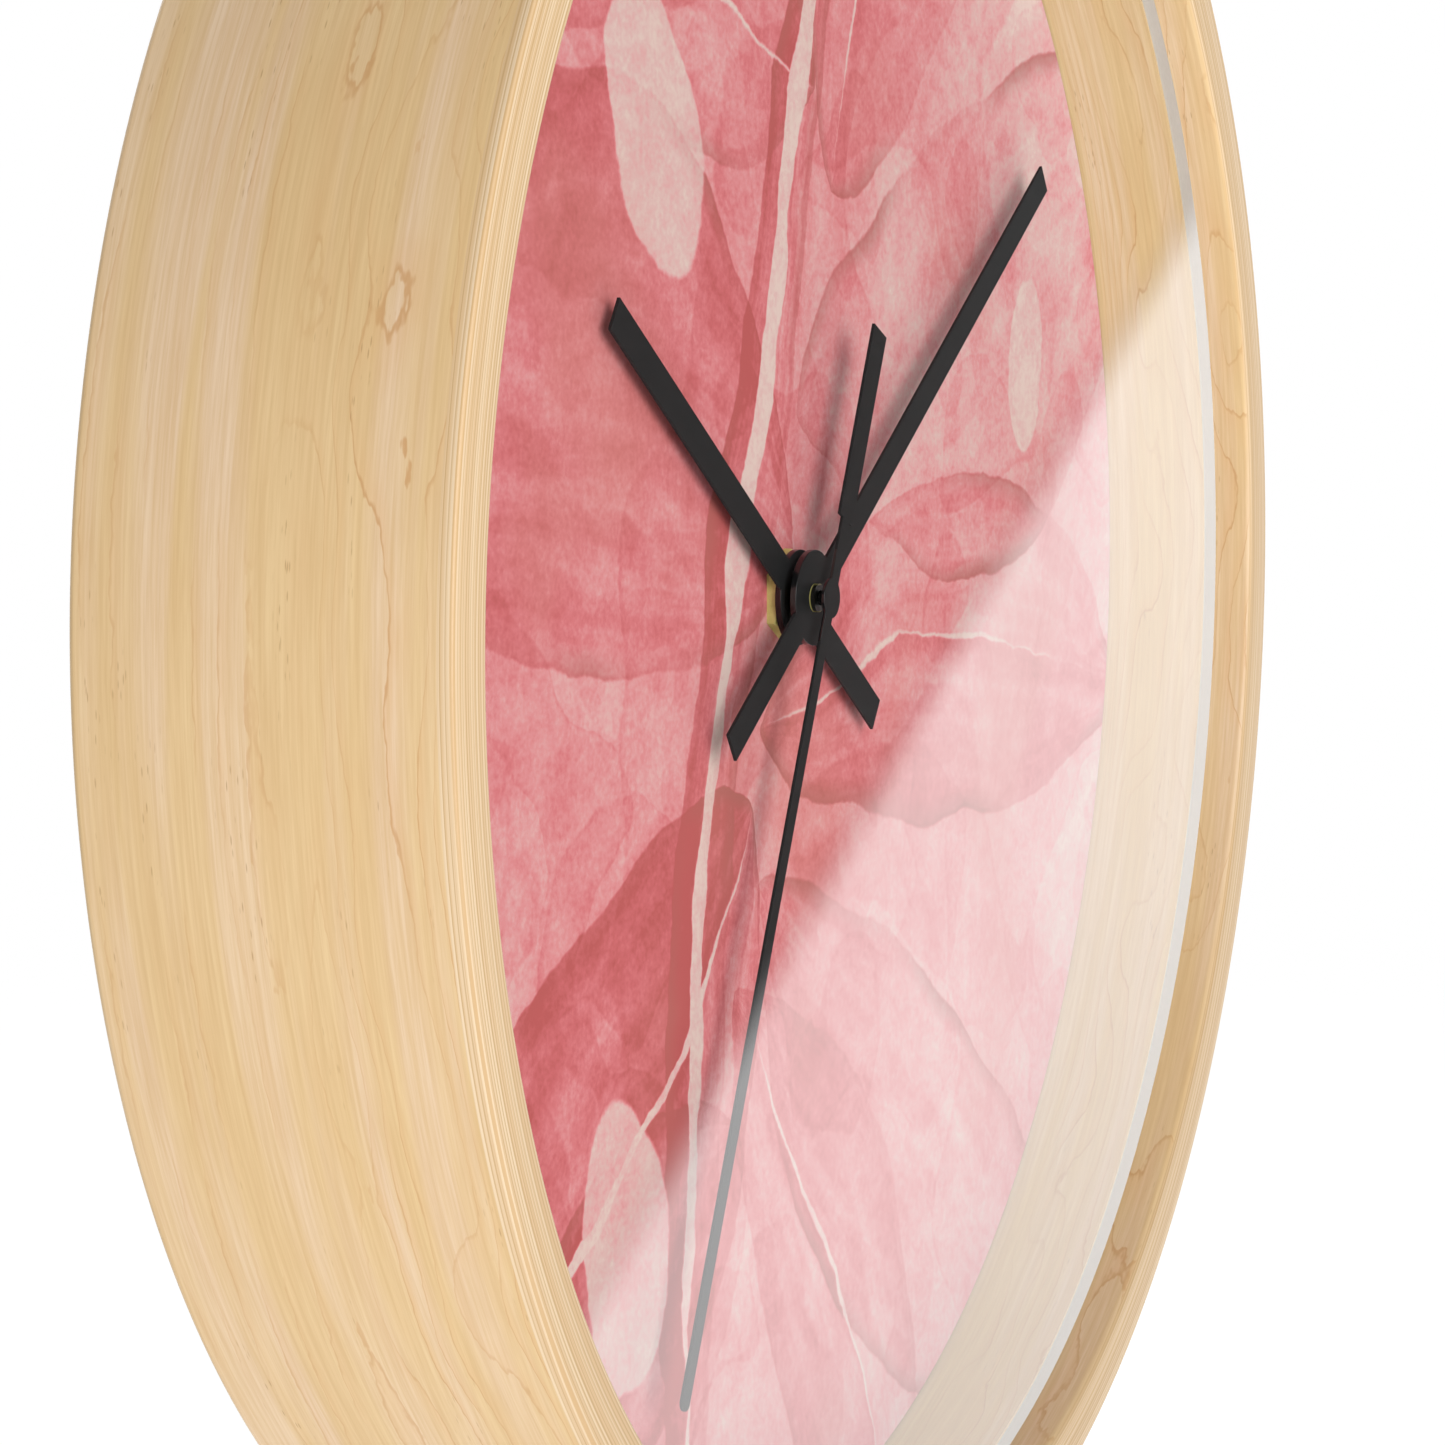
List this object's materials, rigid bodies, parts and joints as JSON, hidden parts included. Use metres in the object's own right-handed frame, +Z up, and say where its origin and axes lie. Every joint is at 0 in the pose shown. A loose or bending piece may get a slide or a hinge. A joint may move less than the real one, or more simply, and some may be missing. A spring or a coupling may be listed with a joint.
{
  "type": "round wall clock",
  "caption": "Round analogue wall clock with a bent maple rim, clear front, printed dial, three hands and a battery quartz movement; it hangs from an eye at the back.",
  "frame": {"origin": "on the hands' axis, in the rear plane that lies against the wall", "axes": "+Z up on the wall, +X to the right seen from the front, -Y out of the dial towards the viewer"},
  "size_m": [0.254, 0.0438, 0.254],
  "materials": {
    "maple": "clear satin lacquer",
    "clear_acrylic": "polished",
    "dial_paper": "matte printed paper",
    "hardboard": "raw",
    "plywood": "sanded",
    "zinc_steel": "zinc plated",
    "rubber": "matte",
    "brass": "turned",
    "black_plastic": "fine texture",
    "natural_plastic": "moulded",
    "knob_plastic": "moulded",
    "hand_paint": "matte charcoal",
    "circuit_laminate": "solder mask",
    "black_epoxy": "cured resin",
    "silicon_iron": "punched sheet",
    "copper_wire": "enamelled winding",
    "nickel_strip": "nickel plated",
    "magnet": "sintered",
    "cell_sleeve": "plain printed sleeve"
  },
  "bodies": {
    "clock_case": {"rim": "maple", "front_lens": "clear_acrylic", "dial_print": "dial_paper", "dial_board": "hardboard", "dial_retaining_ring": "plywood", "dial_screws": "zinc_steel", "hanger_block": "plywood", "hanger_plate": "zinc_steel", "hanger_screws": "zinc_steel", "rubber_washer": "rubber", "stem_nut": "brass", "movement_case": "black_plastic", "movement_cover": "black_plastic", "middle_plate": "natural_plastic", "circuit_board": "circuit_laminate", "control_chip": "black_epoxy", "quartz_crystal": "nickel_strip", "stator": "silicon_iron", "coil_bobbin": "natural_plastic", "coil_winding": "copper_wire", "positive_contact": "nickel_strip", "negative_contact": "nickel_strip"},
    "second_arbor": {"second_hand": "hand_paint", "second_hand_tube": "hand_paint", "second_wheel": "natural_plastic"},
    "minute_arbor": {"minute_hand": "hand_paint", "cannon_pinion": "brass"},
    "hour_arbor": {"hour_hand": "hand_paint", "hour_wheel": "natural_plastic"},
    "motion_work": {"motion_wheel": "natural_plastic"},
    "knob": {"setting_knob": "knob_plastic"},
    "rotor": {"rotor_magnet": "magnet", "rotor_pinion": "natural_plastic"},
    "intermediate": {"intermediate_wheel": "natural_plastic"},
    "third": {"third_wheel": "natural_plastic"},
    "minute_drive": {"minute_wheel": "natural_plastic"},
    "battery": {"battery_cell": "cell_sleeve"}
  },
  "joints": [
    {"name": "second_hand_turn", "type": "hinge", "parent": "clock_case", "child": "second_arbor", "pos_m": [0, -0.028, 0], "axis": [0, 1, 0], "continuous": true},
    {"name": "minute_hand_turn", "type": "hinge", "parent": "clock_case", "child": "minute_arbor", "pos_m": [0, -0.026, 0], "axis": [0, 1, 0], "continuous": true},
    {"name": "hour_hand_turn", "type": "hinge", "parent": "clock_case", "child": "hour_arbor", "pos_m": [0, -0.024, 0], "axis": [0, 1, 0], "continuous": true},
    {"name": "motion_wheel_turn", "type": "hinge", "parent": "clock_case", "child": "motion_work", "pos_m": [0.0048, -0.0146, 0.00831], "axis": [0, 1, 0], "continuous": true},
    {"name": "setting_knob_turn", "type": "hinge", "parent": "clock_case", "child": "knob", "pos_m": [0.01215, -0.008, 0.01448], "axis": [0, 1, 0], "continuous": true},
    {"name": "rotor_turn", "type": "hinge", "parent": "clock_case", "child": "rotor", "pos_m": [0.01696, -0.0073, -0.00484], "axis": [0, 1, 0], "continuous": true},
    {"name": "intermediate_wheel_turn", "type": "hinge", "parent": "clock_case", "child": "intermediate", "pos_m": [0.00987, -0.007, -0.00359], "axis": [0, 1, 0], "continuous": true},
    {"name": "third_wheel_turn", "type": "hinge", "parent": "clock_case", "child": "third", "pos_m": [-0.00836, -0.0096, 0.00585], "axis": [0, 1, 0], "continuous": true},
    {"name": "minute_wheel_turn", "type": "hinge", "parent": "clock_case", "child": "minute_drive", "pos_m": [0, -0.013, 0], "axis": [0, 1, 0], "continuous": true},
    {"name": "battery_out", "type": "slide", "parent": "clock_case", "child": "battery", "axis": [0, 1, 0], "range_m": [0, 0.02]}
  ],
  "couplings": [
    {"joint": "intermediate_wheel_turn", "follows": "second_hand_turn", "ratio": -6},
    {"joint": "rotor_turn", "follows": "second_hand_turn", "ratio": 30},
    {"joint": "third_wheel_turn", "follows": "second_hand_turn", "ratio": -0.13333},
    {"joint": "minute_wheel_turn", "follows": "second_hand_turn", "ratio": 0.016667},
    {"joint": "motion_wheel_turn", "follows": "minute_hand_turn", "ratio": -0.33333},
    {"joint": "hour_hand_turn", "follows": "minute_hand_turn", "ratio": 0.083333},
    {"joint": "setting_knob_turn", "follows": "minute_hand_turn", "ratio": 1}
  ]
}
